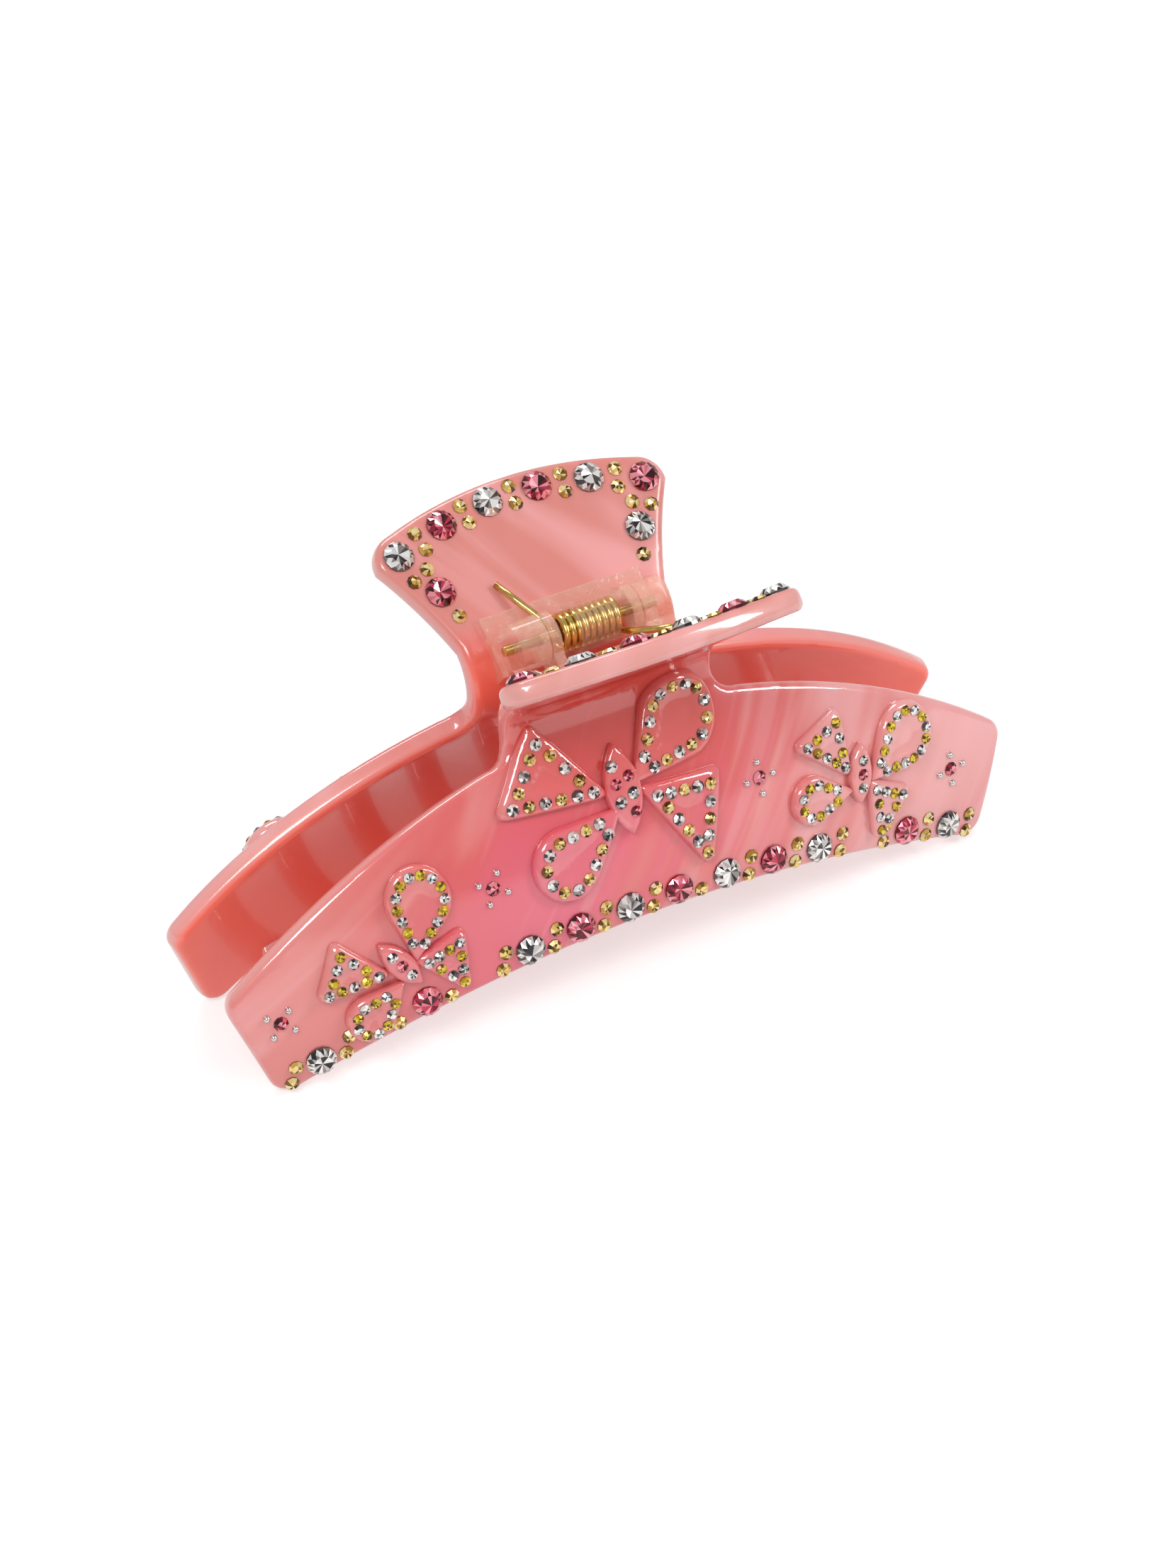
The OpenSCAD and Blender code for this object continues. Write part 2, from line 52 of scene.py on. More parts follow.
# the clip's section in millimetres: u goes out from the middle plane, z up, lean is the surface's angle
clip = {
    "plate": 2.8,          # acetate thickness
    "planR": 250.0,        # bow of a jaw seen from above
    "shellR": 57.0,
    "shellZ": 0.9,
    "shellReach": 15.5,
    "neckAngle": 33.0,
    "bendR": 5.0,
    "handleLean": 50.0,
    "neckHalf": 13.8,
    "pinZ": 42.15,
}
shellU = clip["shellReach"] - clip["shellR"]
neckRad = math.radians(clip["neckAngle"])
leanRad = math.radians(clip["handleLean"])
bendU = shellU + (clip["shellR"] + clip["bendR"]) * math.cos(neckRad)
bendZ = clip["shellZ"] + (clip["shellR"] + clip["bendR"]) * math.sin(neckRad)
neckZ = clip["shellZ"] + clip["shellR"] * math.sin(neckRad)
slopeUz = (math.sin(leanRad), math.cos(leanRad))
inwardUz = (-math.cos(leanRad), math.sin(leanRad))
neckRun = clip["shellR"] * neckRad                       # run up the outer surface to the neck
handleRun = neckRun + clip["bendR"] * (neckRad + leanRad)  # and to the foot of the handle
halfTurn = Matrix.Rotation(math.pi, 4, "Z")


def sectionAt(run, depth):
    # (u, z, lean) at a run up the outer surface and a depth, positive outwards
    if run < neckRun:
        lean = run / clip["shellR"]
        r = clip["shellR"] + depth
        return shellU + r * math.cos(lean), clip["shellZ"] + r * math.sin(lean), lean
    if run < handleRun:
        lean = neckRad - (run - neckRun) / clip["bendR"]
        r = clip["bendR"] - depth
        return bendU - r * math.cos(lean), bendZ - r * math.sin(lean), lean
    s = run - handleRun
    h = clip["bendR"] - depth
    return (bendU + h * inwardUz[0] + s * slopeUz[0],
            bendZ + h * inwardUz[1] + s * slopeUz[1], -leanRad)


def ringAt(run, depth=0.0):
    return clip["planR"] - clip["shellReach"] + sectionAt(run, depth)[0]


def wrap(x, run, depth):
    # a place on the front half, in metres
    turn = math.asin(x / ringAt(run))
    ring = ringAt(run, depth)
    z = sectionAt(run, depth)[1]
    return Vector((ring * math.sin(turn), clip["planR"] - clip["shellReach"] - ring * math.cos(turn), z)) * mm


def placeAt(x, run, depth, inner=False):
    # a frame on the front half, its z axis off the surface
    turn = math.asin(x / ringAt(run))
    lean = sectionAt(run, 0)[2]
    right = Vector((math.cos(turn), math.sin(turn), 0))
    off = Vector((math.cos(lean) * math.sin(turn), -math.cos(lean) * math.cos(turn), math.sin(lean)))
    if inner:
        off = -off
    up = off.cross(right)
    place = Matrix((right, up, off)).transposed().to_4x4()
    place.translation = wrap(x, run, depth)
    return place


def runOf(z):
    # run up the outer surface at a height
    if z < neckZ:
        return clip["shellR"] * math.asin((z - clip["shellZ"]) / clip["shellR"])
    lean = math.asin((bendZ - z) / clip["bendR"])
    return neckRun + clip["bendR"] * (neckRad - lean)


def drop(r, x):
    return r - math.sqrt(r * r - x * x)


class Net:
    # one socket of a material's nodes, so that shader maths reads as sums
    def __init__(self, tree, socket=None):
        self.tree = tree
        self.socket = socket

    def plug(self, target, value):
        if isinstance(value, Net):
            self.tree.links.new(value.socket, target)
        elif isinstance(value, tuple) and len(value) == 3 and len(target.default_value) == 4:
            target.default_value = (*value, 1)
        else:
            target.default_value = value

    def make(self, kind, settings=None, sockets=None, out=0):
        # any node, and the socket that comes out of it
        node = self.tree.nodes.new(kind)
        for key, value in (settings or {}).items():
            if key == "stops":
                ramp = node.color_ramp
                while len(ramp.elements) < len(value):
                    ramp.elements.new(0.5)
                for element, (place, colour) in zip(ramp.elements, value):
                    element.position = place
                    element.color = (*colour, 1)
            else:
                setattr(node, key, value)
        for key, value in (sockets or {}).items():
            self.plug(node.inputs[key], value)
        return Net(self.tree, node.outputs[out] if node.outputs else None)

    def maths(self, operation, *values):
        return self.make("ShaderNodeMath", {"operation": operation}, dict(enumerate(values)))

    def mix(self, share, a, b):
        return self.make("ShaderNodeMix", {"data_type": "RGBA"}, {0: share, 6: a, 7: b}, 2)

    def split(self):
        # the x, y and z of a vector
        node = self.make("ShaderNodeSeparateXYZ", None, {0: self}).socket.node
        return [Net(self.tree, socket) for socket in node.outputs]

    def ramp(self, low, high, most=1.0):
        # 0 at low and the most at high, smoothly
        return self.make("ShaderNodeMapRange", {"interpolation_type": "SMOOTHSTEP"},
                         {"Value": self, "From Min": low, "From Max": high, "To Max": most})

    def __abs__(self):
        return self.maths("ABSOLUTE", self)

    def __add__(self, other):
        return self.maths("ADD", self, other)

    def __radd__(self, other):
        return self.maths("ADD", other, self)

    def __sub__(self, other):
        return self.maths("SUBTRACT", self, other)

    def __rsub__(self, other):
        return self.maths("SUBTRACT", other, self)

    def __mul__(self, other):
        return self.maths("MULTIPLY", self, other)

    def __rmul__(self, other):
        return self.maths("MULTIPLY", other, self)


def newFinish(name):
    material = bpy.data.materials.new(name)
    material.use_nodes = True
    material.node_tree.nodes.clear()
    return material, Net(material.node_tree)


def finishWith(net, sockets):
    net.make("ShaderNodeOutputMaterial", None, {"Surface": net.make("ShaderNodeBsdfPrincipled", None, sockets)})


def coordsOf(net):
    # the place on the piece, in metres
    return net.make("ShaderNodeTexCoord", None, None, 3)


def painted(net, name):
    # a value carried by the mesh
    return net.make("ShaderNodeAttribute", {"attribute_name": name}, None, 2)


def placeOf(net, centre, turn, scale):
    # the place, centred, turned and scaled
    return net.make("ShaderNodeMapping", {"vector_type": "TEXTURE"},
                    {"Vector": coordsOf(net), "Location": centre, "Rotation": turn, "Scale": scale})


def grainOf(net, size):
    # the place in grains of one size
    return placeOf(net, (0, 0, 0), (0, 0, 0), (size, size, size))


def noise(net, where, scale, detail=2.0, warp=0.0):
    return net.make("ShaderNodeTexNoise", None,
                    {"Vector": where, "Scale": scale, "Detail": detail, "Distortion": warp})


# pearly marbled acetate; each mask has where it starts, where it is full and its share
acetate = {
    "coral": (0.74, 0.125, 0.110),
    "glow": (0.95, 0.175, 0.120),     # painted glow on the inner faces, standing in for light through the plate
    "deepRedAndShade": (0.70, 0.060, 0.042),    # deep red of random patches, and painted shade on the bend below a handle
    "salmon": (0.82, 0.35, 0.33),
    # painted light: the plate's edges are painted paler, for the light caught in them
    "rim": (0.84, 0.43, 0.40),
    "pearl": (0.86, 0.39, 0.39),
    "magenta": (0.78, 0.110, 0.190),
    "handle": (0.68, 0.25, 0.215),
    "streak": (0.0105, 0.03, 0.085),  # a streak's width, depth and length in metres
    "fineStreak": 0.36,               # a fine streak's width to a broad one's
    "streakRise": 0.01,
    "streakWarp": 0.7,
    "leftEnd": (-0.014, -0.032),      # x where the streaks take the other lean
    "patch": {"size": 0.03, "lean": 0.2, "detail": 1.5, "warp": 0.6},
    "paleEnds": (0.020, 0.044, 0.85),
    "deepPatches": (0.50, 0.36, 0.45),
    "pinkReach": (0.042, 0.006, 0.85),
    "pinkPatches": (0.5, 0.62, 0.25),
    "pinkGaps": (0.62, 0.42),
    "gripRise": (0.0375, 0.0425),     # height where a handle begins
    "gripShare": 0.85,
    "pearlStreaks": (0.50, 0.69, 0.8),
    "pearlFine": (0.50, 0.70, 0.32),
    "bendShadeRise": (0.0200, 0.0320),     # height and half width of the painted shade on the bend under a handle
    "bendShadeSide": (0.010, 0.0175),
    "bendShadeShare": 0.85,
    "innerGlowFace": (0.3, 0.9),
    "innerGlowPatches": (0.40, 0.60, 0.2),
    "innerGlowShare": 0.78,
    "rimLightLine": (0.1, 0.9, 0.45),
    "front": {"shift": 0.0, "lean": 0.62, "endLean": 1.0, "pinkAt": (-0.006, -0.020, 0.011)},
    "back": {"shift": 0.013, "lean": -0.75, "endLean": 0.5, "pinkAt": (0.008, 0.020, 0.012)},
    "gloss": 0.24,
    "innerDull": 0.65,                # how much less coat an inner face has
}


def streaked(net, spec, half, size):
    # streaks at one lean, turning to another towards the left end
    wide, deep, long = spec["streak"]
    at = (half["shift"], 0, spec["streakRise"])
    main, end = (noise(net, placeOf(net, at, (0, half[lean], 0), (wide * size, deep, long)), 1.0,
                       warp=spec["streakWarp"]) for lean in ("lean", "endLean"))
    return main + (end - main) * coordsOf(net).split()[0].ramp(*spec["leftEnd"])


def marbled(net, spec, half):
    # silky streaks over broad patches; painted glow of light through the plate on the inner faces and painted
    # shade on the bend under the handle
    coords = coordsOf(net)
    x, y, z = coords.split()
    aside = abs(x)
    away = net.make("ShaderNodeVectorMath", {"operation": "DISTANCE"}, {0: coords, 1: half["pinkAt"]}, 1)
    streaks = streaked(net, spec, half, 1.0)
    fine = streaked(net, spec, half, spec["fineStreak"])
    patch = spec["patch"]
    broad = placeOf(net, (half["shift"], 0, 0), (0, patch["lean"], 0), (patch["size"],) * 3)
    patches = noise(net, broad, 1.0, patch["detail"], patch["warp"])
    inner = painted(net, "inner")
    grip = z.ramp(*spec["gripRise"])
    colour = net.mix(aside.ramp(*spec["paleEnds"]), spec["coral"], spec["salmon"])
    colour = net.mix(patches.ramp(*spec["deepPatches"]), colour, spec["deepRedAndShade"])
    pink = away.ramp(*spec["pinkReach"]) + patches.ramp(*spec["pinkPatches"])
    colour = net.mix(pink * streaks.ramp(*spec["pinkGaps"]), colour, spec["magenta"])
    colour = net.mix(grip * spec["gripShare"], colour, spec["handle"])
    colour = net.mix(streaks.ramp(*spec["pearlStreaks"]), colour, spec["pearl"])
    colour = net.mix(fine.ramp(*spec["pearlFine"]), colour, spec["pearl"])
    # painted shade: the bend under a handle, where the handle shades it, is painted deep red
    bend = z.ramp(*spec["bendShadeRise"]) * (1 - grip) * (1 - aside.ramp(*spec["bendShadeSide"]))
    colour = net.mix(bend * spec["bendShadeShare"], colour, spec["deepRedAndShade"])
    # painted glow: the inner faces below the handle are painted a bright deep red for light passing through the
    # plate
    lit = spec["innerGlowShare"] + patches.ramp(*spec["innerGlowPatches"])
    colour = net.mix(inner.ramp(*spec["innerGlowFace"]) * (1 - grip) * lit, colour, spec["glow"])
    # painted light: the edge faces, halfway through the plate, are painted paler
    rim = inner * (1 - inner) * 4
    return net.mix(rim.ramp(*spec["rimLightLine"]), colour, spec["rim"])


def acetateFinish(name, half):
    material, net = newFinish(name)
    finishWith(net, {
        "Base Color": marbled(net, acetate, acetate[half]),
        "Roughness": acetate["gloss"],
        "Coat Weight": 1 - acetate["innerDull"] * painted(net, "inner"),
        "Coat Roughness": 0.03,
        "Coat IOR": 1.75,
        "Subsurface Weight": 0.1,
        "Subsurface Radius": (0.6, 0.16, 0.12),
        "Subsurface Scale": 0.002,
    })
    return material


resin = {"wash": (0.90, 0.42, 0.40), "share": 0.12}


def resinFinish(name, half):
    # clear resin over the plate: the plate's own marbling, washed a little paler
    material, net = newFinish(name)
    finishWith(net, {
        "Base Color": net.mix(resin["share"], marbled(net, acetate, acetate[half]), resin["wash"]),
        "Roughness": 0.12,
        "Coat Weight": 1.0,
        "Coat Roughness": 0.02,
        "Coat IOR": 1.75,
    })
    return material


# painted reflection: a facet's colour, from its darkest painted reflection to its brightest painted glint
glintStops = (0.05, 0.35, 0.65, 0.95)
stoneGlintColours = {
    "clear_crystal": [(0.02, 0.02, 0.025), (0.22, 0.19, 0.18), (0.70, 0.65, 0.62), (1.0, 0.98, 0.96)],
    "pink_crystal": [(0.04, 0.001, 0.004), (0.30, 0.010, 0.030), (0.66, 0.045, 0.10), (1.0, 0.36, 0.42)],
    "gold_crystal": [(0.06, 0.025, 0.002), (0.42, 0.21, 0.02), (0.86, 0.53, 0.10), (1.0, 0.82, 0.38)],
    "yellow_crystal": [(0.07, 0.035, 0.001), (0.38, 0.22, 0.002), (0.66, 0.42, 0.006), (0.95, 0.72, 0.06)],
}


def crystalFinish(name, colours):
    material, net = newFinish(name)
    stops = list(zip(glintStops, colours))
    finishWith(net, {
        # the base colour is each facet's painted reflection
        "Base Color": net.make("ShaderNodeValToRGB", {"stops": stops}, {"Fac": painted(net, "facet")}),
        "Metallic": 0.55,
        "Roughness": 0.08,
        "Coat Weight": 0.6,
        "Coat Roughness": 0.01,
    })
    return material


def plainFinish(name, colour, metallic, rough, grain, grainShare):
    material, net = newFinish(name)
    speckle = noise(net, grainOf(net, grain), 1.0, 3.0)
    darker = tuple(c * (1 - grainShare) for c in colour)
    finishWith(net, {
        "Base Color": net.mix(speckle.ramp(0.35, 0.65), darker, colour),
        "Metallic": metallic,
        "Roughness": 0.5 * rough + rough * speckle,
    })
    return material


# clear plastic of the hinge; the thin cover over the coil is clearer than the blocks
clearPlastic = {
    "tint": (0.95, 0.47, 0.30), "pale": (1.0, 0.84, 0.70), "rough": 0.08,
    "bubble": 0.0006, "bubbleWall": (0.0, 0.5, 0.6), "bubbleTint": (0.2, 0.5, 0.2),
    "lump": 0.3, "lumpTint": (0.3, 0.7, 0.3), "leastTint": 0.35,
    "block": 0.34, "cover": 0.09,         # how solid each looks
    "coverX": 0.00135,                    # the cover's middle
    "coverHalf": (0.0035, 0.0032),
    "coverRing": (1.02e-5, 0.94e-5),      # its edge, as the square of the distance from the pin
}


def clearFinish(name):
    material, net = newFinish(name)
    spec = clearPlastic
    where = grainOf(net, spec["bubble"])
    bubbles = net.make("ShaderNodeTexVoronoi", {"feature": "SMOOTH_F1"}, {"Vector": where, "Scale": 1.0})
    lumps = noise(net, where, spec["lump"])
    tint = spec["leastTint"] + bubbles.ramp(*spec["bubbleTint"]) + lumps.ramp(*spec["lumpTint"])
    height = bubbles.ramp(*spec["bubbleWall"]) + lumps
    x, y, z = coordsOf(net).split()
    rise = z - clip["pinZ"] * mm
    cover = (y * y + rise * rise).ramp(*spec["coverRing"]) * abs(x - spec["coverX"]).ramp(*spec["coverHalf"])
    finishWith(net, {
        "Base Color": net.mix(tint, spec["pale"], spec["tint"]),
        "Roughness": spec["rough"],
        "Alpha": spec["block"] - cover * (spec["block"] - spec["cover"]),
        "Coat Weight": 1.0,
        "Coat IOR": 2.0,
        "Coat Roughness": 0.03,
        "Normal": net.make("ShaderNodeBump", None, {"Strength": 0.7, "Distance": 0.0003, "Height": height}),
    })
    return material


finishes = {
    "frontAcetate": acetateFinish("marbled acetate front", "front"),
    "backAcetate": acetateFinish("marbled acetate back", "back"),
    "frontResin": resinFinish("bow resin front", "front"),
    "backResin": resinFinish("bow resin back", "back"),
    "clear": clearFinish("clear hinge plastic"),
    "brass": plainFinish("pin brass", (0.72, 0.50, 0.17), 1.0, 0.22, 0.0015, 0.25),
    "wire": plainFinish("spring wire", (0.80, 0.58, 0.18), 1.0, 0.2, 0.001, 0.2),
    "bead": plainFinish("silver bead", (0.80, 0.79, 0.78), 1.0, 0.14, 0.0006, 0.15),
}
for name, colours in stoneGlintColours.items():
    finishes[name] = crystalFinish(name.replace("_", " "), colours)
print("finishes made")


def makePiece(bm, name, finish, body, replaced, smooth=True, turned=False):
    # ends a bmesh as a piece of the clip; turned gives the back half's copy
    if turned:
        bm.transform(halfTurn)
    mesh = bpy.data.meshes.new(name)
    bm.to_mesh(mesh)
    bm.free()
    mesh.materials.append(finishes[finish])
    for polygon in mesh.polygons:
        polygon.use_smooth = smooth
    piece = bpy.data.objects.new(name, mesh)
    bpy.context.scene.collection.objects.link(piece)
    if body:
        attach(piece, body)
    if replaced:
        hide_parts(*replaced)
    return piece


def joinInto(bm, part):
    spare = bpy.data.meshes.new("part")
    part.to_mesh(spare)
    part.free()
    bm.from_mesh(spare)
    bpy.data.meshes.remove(spare)


def cutGrid(bm, xs, ys):
    # cuts a flat slab along lines, so that it can bend
    for normal, places in ((Vector((1, 0, 0)), xs), (Vector((0, 1, 0)), ys)):
        for place in places:
            bmesh.ops.bisect_plane(bm, geom=bm.verts[:] + bm.edges[:] + bm.faces[:], dist=1e-5,
                                   plane_co=normal * place, plane_no=normal)


def steps(low, high, step):
    # places a step apart, the first half a step in
    count = int(math.floor((high - low) / step))
    return [low + step * (i + 0.5) for i in range(count + 1)]


def walk(start, end, step):
    # places a step apart, from the start until the end is passed
    places = []
    while (start - end) * step < 0:
        places.append(start)
        start += step
    return places


def kindOf(geometry, kind):
    return [g for g in geometry if isinstance(g, kind)]


def slab(outline, thick, rim, segments, bothSides):
    # a flat outline raised to a slab with rounded rims
    bm = bmesh.new()
    ring = [bm.verts.new((p[0], p[1], 0)) for p in outline]
    face = bm.faces.new(ring)
    bmesh.ops.recalc_face_normals(bm, faces=[face])
    if face.normal.z < 0:
        bmesh.ops.reverse_faces(bm, faces=[face])
    lifted = bmesh.ops.extrude_face_region(bm, geom=[face])
    bmesh.ops.translate(bm, verts=kindOf(lifted["geom"], bmesh.types.BMVert), vec=(0, 0, thick))
    bmesh.ops.recalc_face_normals(bm, faces=bm.faces[:])
    edges = [e for e in bm.edges
             if abs(e.verts[0].co.z - e.verts[1].co.z) < 1e-6 and (bothSides or e.verts[0].co.z > thick / 2)]
    bmesh.ops.bevel(bm, geom=edges, offset=rim, offset_type="OFFSET", affect="EDGES", segments=segments,
                    profile=0.5, material=-1, clamp_overlap=True)
    bmesh.ops.remove_doubles(bm, verts=bm.verts[:], dist=1e-4)
    return bm


def cornerArc(at, alongA, alongB, r, count=7):
    # points of a rounded corner, from side a round to side b
    a, b, at = Vector(alongA).normalized(), Vector(alongB).normalized(), Vector(at)
    half = a.angle(b) / 2
    centre = at + (a + b).normalized() * r / math.sin(half)
    reach = r / math.tan(half)
    start, end = at + a * reach - centre, at + b * reach - centre
    full = start.angle_signed(end)
    return [centre + Matrix.Rotation(-full * i / count, 2) @ start for i in range(count + 1)]


# outline of one half, laid flat: x across, run up the outer surface
half = {
    "jawTop": 32.95, "topR": 81.0,
    "arch": 9.6, "archR": 120.0,
    "cornerX": 53.0, "cornerZ": 13.15, "footX": 48.2,
    "cornerR": 2.5, "filletR": 3.0,
    "handleLen": 17.9, "handleHalf": 19.3, "shoulder": 12.0, "sideR": 60.0,
    "tipR": 62.0, "tipCorner": 3.2, "tipSlope": 0.32,
    "rim": 0.95, "rimSteps": 4,
    "archStep": 1.5, "edgeStep": 1.2, "neckStep": 0.8, "filletSteps": 6, "sideSteps": 8,
    "archGap": 0.5, "edgeGap": 0.4, "neckGap": 0.3,  # the least length left before a corner
    "gridX": (-52, 52, 3.0), "gridShell": 1.7, "gridBend": 0.5, "gridHandle": 2.5, "gridTop": 18,
}


def lowZ(x):
    return half["arch"] - drop(half["archR"], x)


def topZ(x):
    return half["jawTop"] - drop(half["topR"], x)


def halfOutline():
    # the right side from the arch's middle to the handle's tip, then its mirror image
    endSlope = (half["cornerX"] - half["footX"]) / half["cornerZ"]
    footZ = lowZ(half["footX"])
    archSlope = half["footX"] / (half["archR"] - drop(half["archR"], half["footX"]))
    foot = cornerArc((half["footX"] + endSlope * footZ, footZ), (-1, archSlope), (endSlope, 1), half["cornerR"])
    topSlope = half["cornerX"] / (half["topR"] - drop(half["topR"], half["cornerX"]))
    corner = cornerArc((half["cornerX"], half["cornerZ"]), (-endSlope, -1), (-1, topSlope), half["cornerR"])
    step = half["archStep"]
    side = [Vector((x, lowZ(x))) for x in walk(step / 2, foot[0].x - half["archGap"], step)] + foot + corner
    step = half["edgeStep"]
    filletR = half["filletR"]
    filletX = clip["neckHalf"] + filletR
    side += [Vector((x, topZ(x))) for x in walk(corner[-1].x - step, filletX + half["edgeGap"], -step)]
    side = [Vector((p.x, runOf(p.y))) for p in side]
    base = runOf(topZ(filletX))
    for i in range(half["filletSteps"] + 1):
        a = -math.pi / 2 * (1 + i / half["filletSteps"])
        side.append(Vector((filletX + filletR * math.cos(a), base + filletR * (1 + math.sin(a)))))
    side += [Vector((clip["neckHalf"], run)) for run in walk(
        side[-1].y + half["neckStep"], handleRun - half["neckGap"], half["neckStep"])]
    a, b = Vector((clip["neckHalf"], 0)), Vector((half["handleHalf"], half["shoulder"]))
    across = Vector((b.y - a.y, a.x - b.x)).normalized()
    centre = (a + b) / 2 + across * math.sqrt(half["sideR"] ** 2 - (b - a).length_squared / 4)
    for i in range(half["sideSteps"] + 1):
        spot = centre + (a.lerp(b, i / half["sideSteps"]) - centre).normalized() * half["sideR"]
        side.append(Vector((spot.x, handleRun + spot.y)))
    tipZ = half["handleLen"] - drop(half["tipR"], half["handleHalf"])
    tip = cornerArc((half["handleHalf"], tipZ), (0, -1), (-1, half["tipSlope"]), half["tipCorner"], 8)
    side += [Vector((p.x, handleRun + p.y)) for p in tip]
    side += [Vector((x, handleRun + half["handleLen"] - drop(half["tipR"], x)))
             for x in walk(tip[-1].x - step, half["neckGap"], -step)]
    return side + [Vector((-p.x, p.y)) for p in reversed(side)]


tooth = {
    "pitch": 9.0, "aside": 4, "shift": 0.25,  # teeth on each side of the middle one, and its place in pitches
    "wide": 3.8, "thick": 2.6, "round": 0.55, "sharp": 0.9, "cuts": 9,
    "r": 16.0, "rise": 50.0, "sunk": 0.4, "startPast": 0.02,
    "cross": 2.5, "tipIn": 0.6,               # how far a tip goes past the middle plane
    "thin": 0.25, "tipThick": 0.55, "taper": 0.5, "taperFrom": 0.8,
}


def addTooth(bm, x):
    # a curled bar from the plate's lower edge across the middle plane
    z = lowZ(x)
    turn = math.asin(x / ringAt(runOf(z)))
    rootU = ringAt(runOf(z)) * math.cos(turn) - clip["planR"] + clip["shellReach"] - tooth["sunk"]
    rise = math.radians(tooth["rise"])
    centreU = rootU - tooth["r"] * math.cos(rise)
    centreZ = z + tooth["sunk"] + tooth["r"] * math.sin(rise)
    start = -rise + tooth["startPast"]
    end = -math.acos(max(-1, min(1, (-tooth["cross"] - centreU) / (tooth["r"] - tooth["tipIn"]))))
    bar = bmesh.new()
    bmesh.ops.create_cube(bar, size=1)
    bmesh.ops.scale(bar, verts=bar.verts[:], vec=(tooth["wide"], abs(end - start), tooth["thick"]))
    lengthwise = [e for e in bar.edges if abs(e.verts[0].co.y - e.verts[1].co.y) > 1e-4]
    bmesh.ops.subdivide_edges(bar, edges=lengthwise, cuts=tooth["cuts"])
    for v in bar.verts:
        share = v.co.y / abs(end - start) + 0.5
        taper = 1 - tooth["taper"] * max(0, (share - tooth["taperFrom"]) / (1 - tooth["taperFrom"])) ** 2
        angle = start + (end - start) * share
        atTip = tooth["tipThick"] if share > 0.99 else 1
        r = tooth["r"] - tooth["thick"] / 2 + v.co.z * (1 - tooth["thin"] * share) * atTip
        v.co = Vector((x + v.co.x * taper, -(centreU + r * math.cos(angle)), centreZ + r * math.sin(angle))) * mm
    joinInto(bm, bar)


def sideOf(turned):
    return "back" if turned else "front"


def buildHalf(turned):
    bm = slab(halfOutline(), clip["plate"], half["rim"], half["rimSteps"], True)
    runs = (steps(0, neckRun, half["gridShell"]) + steps(neckRun, handleRun, half["gridBend"])
            + steps(handleRun, handleRun + half["gridTop"], half["gridHandle"]))
    cutGrid(bm, steps(*half["gridX"]), [neckRun, handleRun] + runs)
    inner = bm.verts.layers.float.new("inner")
    for v in bm.verts:
        v[inner] = 1 - v.co.z / clip["plate"]
        v.co = wrap(v.co.x, v.co.y, v.co.z - clip["plate"])
    bmesh.ops.recalc_face_normals(bm, faces=bm.faces[:])
    teeth = bmesh.new()
    for i in range(-tooth["aside"], tooth["aside"] + 1):
        addTooth(teeth, tooth["pitch"] * (i + tooth["shift"]))
    bmesh.ops.recalc_face_normals(teeth, faces=teeth.faces[:])
    sharp = [e for e in teeth.edges if e.calc_face_angle(0) > tooth["sharp"]]
    bmesh.ops.bevel(teeth, geom=sharp, offset=tooth["round"] * mm, offset_type="OFFSET", affect="EDGES",
                    segments=2, profile=0.5, material=-1)
    joinInto(bm, teeth)
    body = sideOf(turned)
    makePiece(bm, body + "_half_acetate", body + "Acetate", body, [body + "_half"], True, turned)


for turned in (False, True):
    buildHalf(turned)
print("acetate halves made")


# bows: [knot end, centre of the round end, its radius, stones] and three corners with stones to the next
bows = {
    "thick": 1.2, "tailThick": 1.152, "sink": 0.2, "edge": 0.62, "edgeSteps": 4,
    "dip": 0.5, "dipFrom": 0.5, "dipOver": 0.9,  # how deep a bow sinks, and where, in rims from its line
    "grid": 0.6, "coarse": 1.4, "topmost": 38,
    "grow": 1.9, "point": 0.5, "corner": 0.8,    # a tail's outline outside its stones, and its corners
    "apart": 1.04, "knotStone": 0.72,
    "large": {
        "at": (-1.6, 25.35), "turn": 0.0, "rim": 1.4, "stone": 0.78, "knot": (5.0, 2.3),
        "loops": [((2.4, 1), (9.2, 5.6), 3.5, 15), ((-2, -2.2), (-8.8, -6), 2.9, 13)],
        "tails": [[((-3.9, 0.9), 4), ((-9.2, 7.4), 4), ((-14, 1.7), 5)],
                  [((3.8, -1.7), 5), ((8.8, -9.9), 4), ((10.8, -2.5), 4)]],
        "knotStones": [(-1, 2.8), (0.8, 1.4), (-1, 0.9), (0.9, -0.5), (-0.9, -1.1), (0.7, -2.5)],
        "knotCode": "cppccp",
    },
    "left": {"at": (-32.3, 13.85), "turn": 37.0},
    "right": {"at": (29.9, 16.6), "turn": -10.6},
    "small": {
        "rim": 1.1, "stone": 0.68, "knot": (3.6, 1.6),
        "loops": [((2.2, -0.5), (6.8, 3.2), 2.9, 15), ((-2.2, -1.7), (-6.9, -2), 1.9, 10)],
        "tails": [[((-2.6, 1.3), 3), ((-3.7, 6.4), 3), ((-7.9, 4.2), 4)],
                  [((2.2, -2.3), 3), ((3.2, -7.4), 3), ((6.2, -3.6), 3)]],
        "knotStones": [(0, 1.6), (0, 0), (0, -1.6)],
        "knotCode": "cpc",
    },
}
for side in ("left", "right"):
    bows[side] = {**bows["small"], **bows[side]}


def onBow(bow, spot):
    # a bow's own place to (x, z) on the jaw
    a = math.radians(bow["turn"])
    return (bow["at"][0] + spot[0] * math.cos(a) - spot[1] * math.sin(a),
            bow["at"][1] + spot[0] * math.sin(a) + spot[1] * math.cos(a))


def heading(angle):
    return Vector((math.cos(angle), math.sin(angle)))


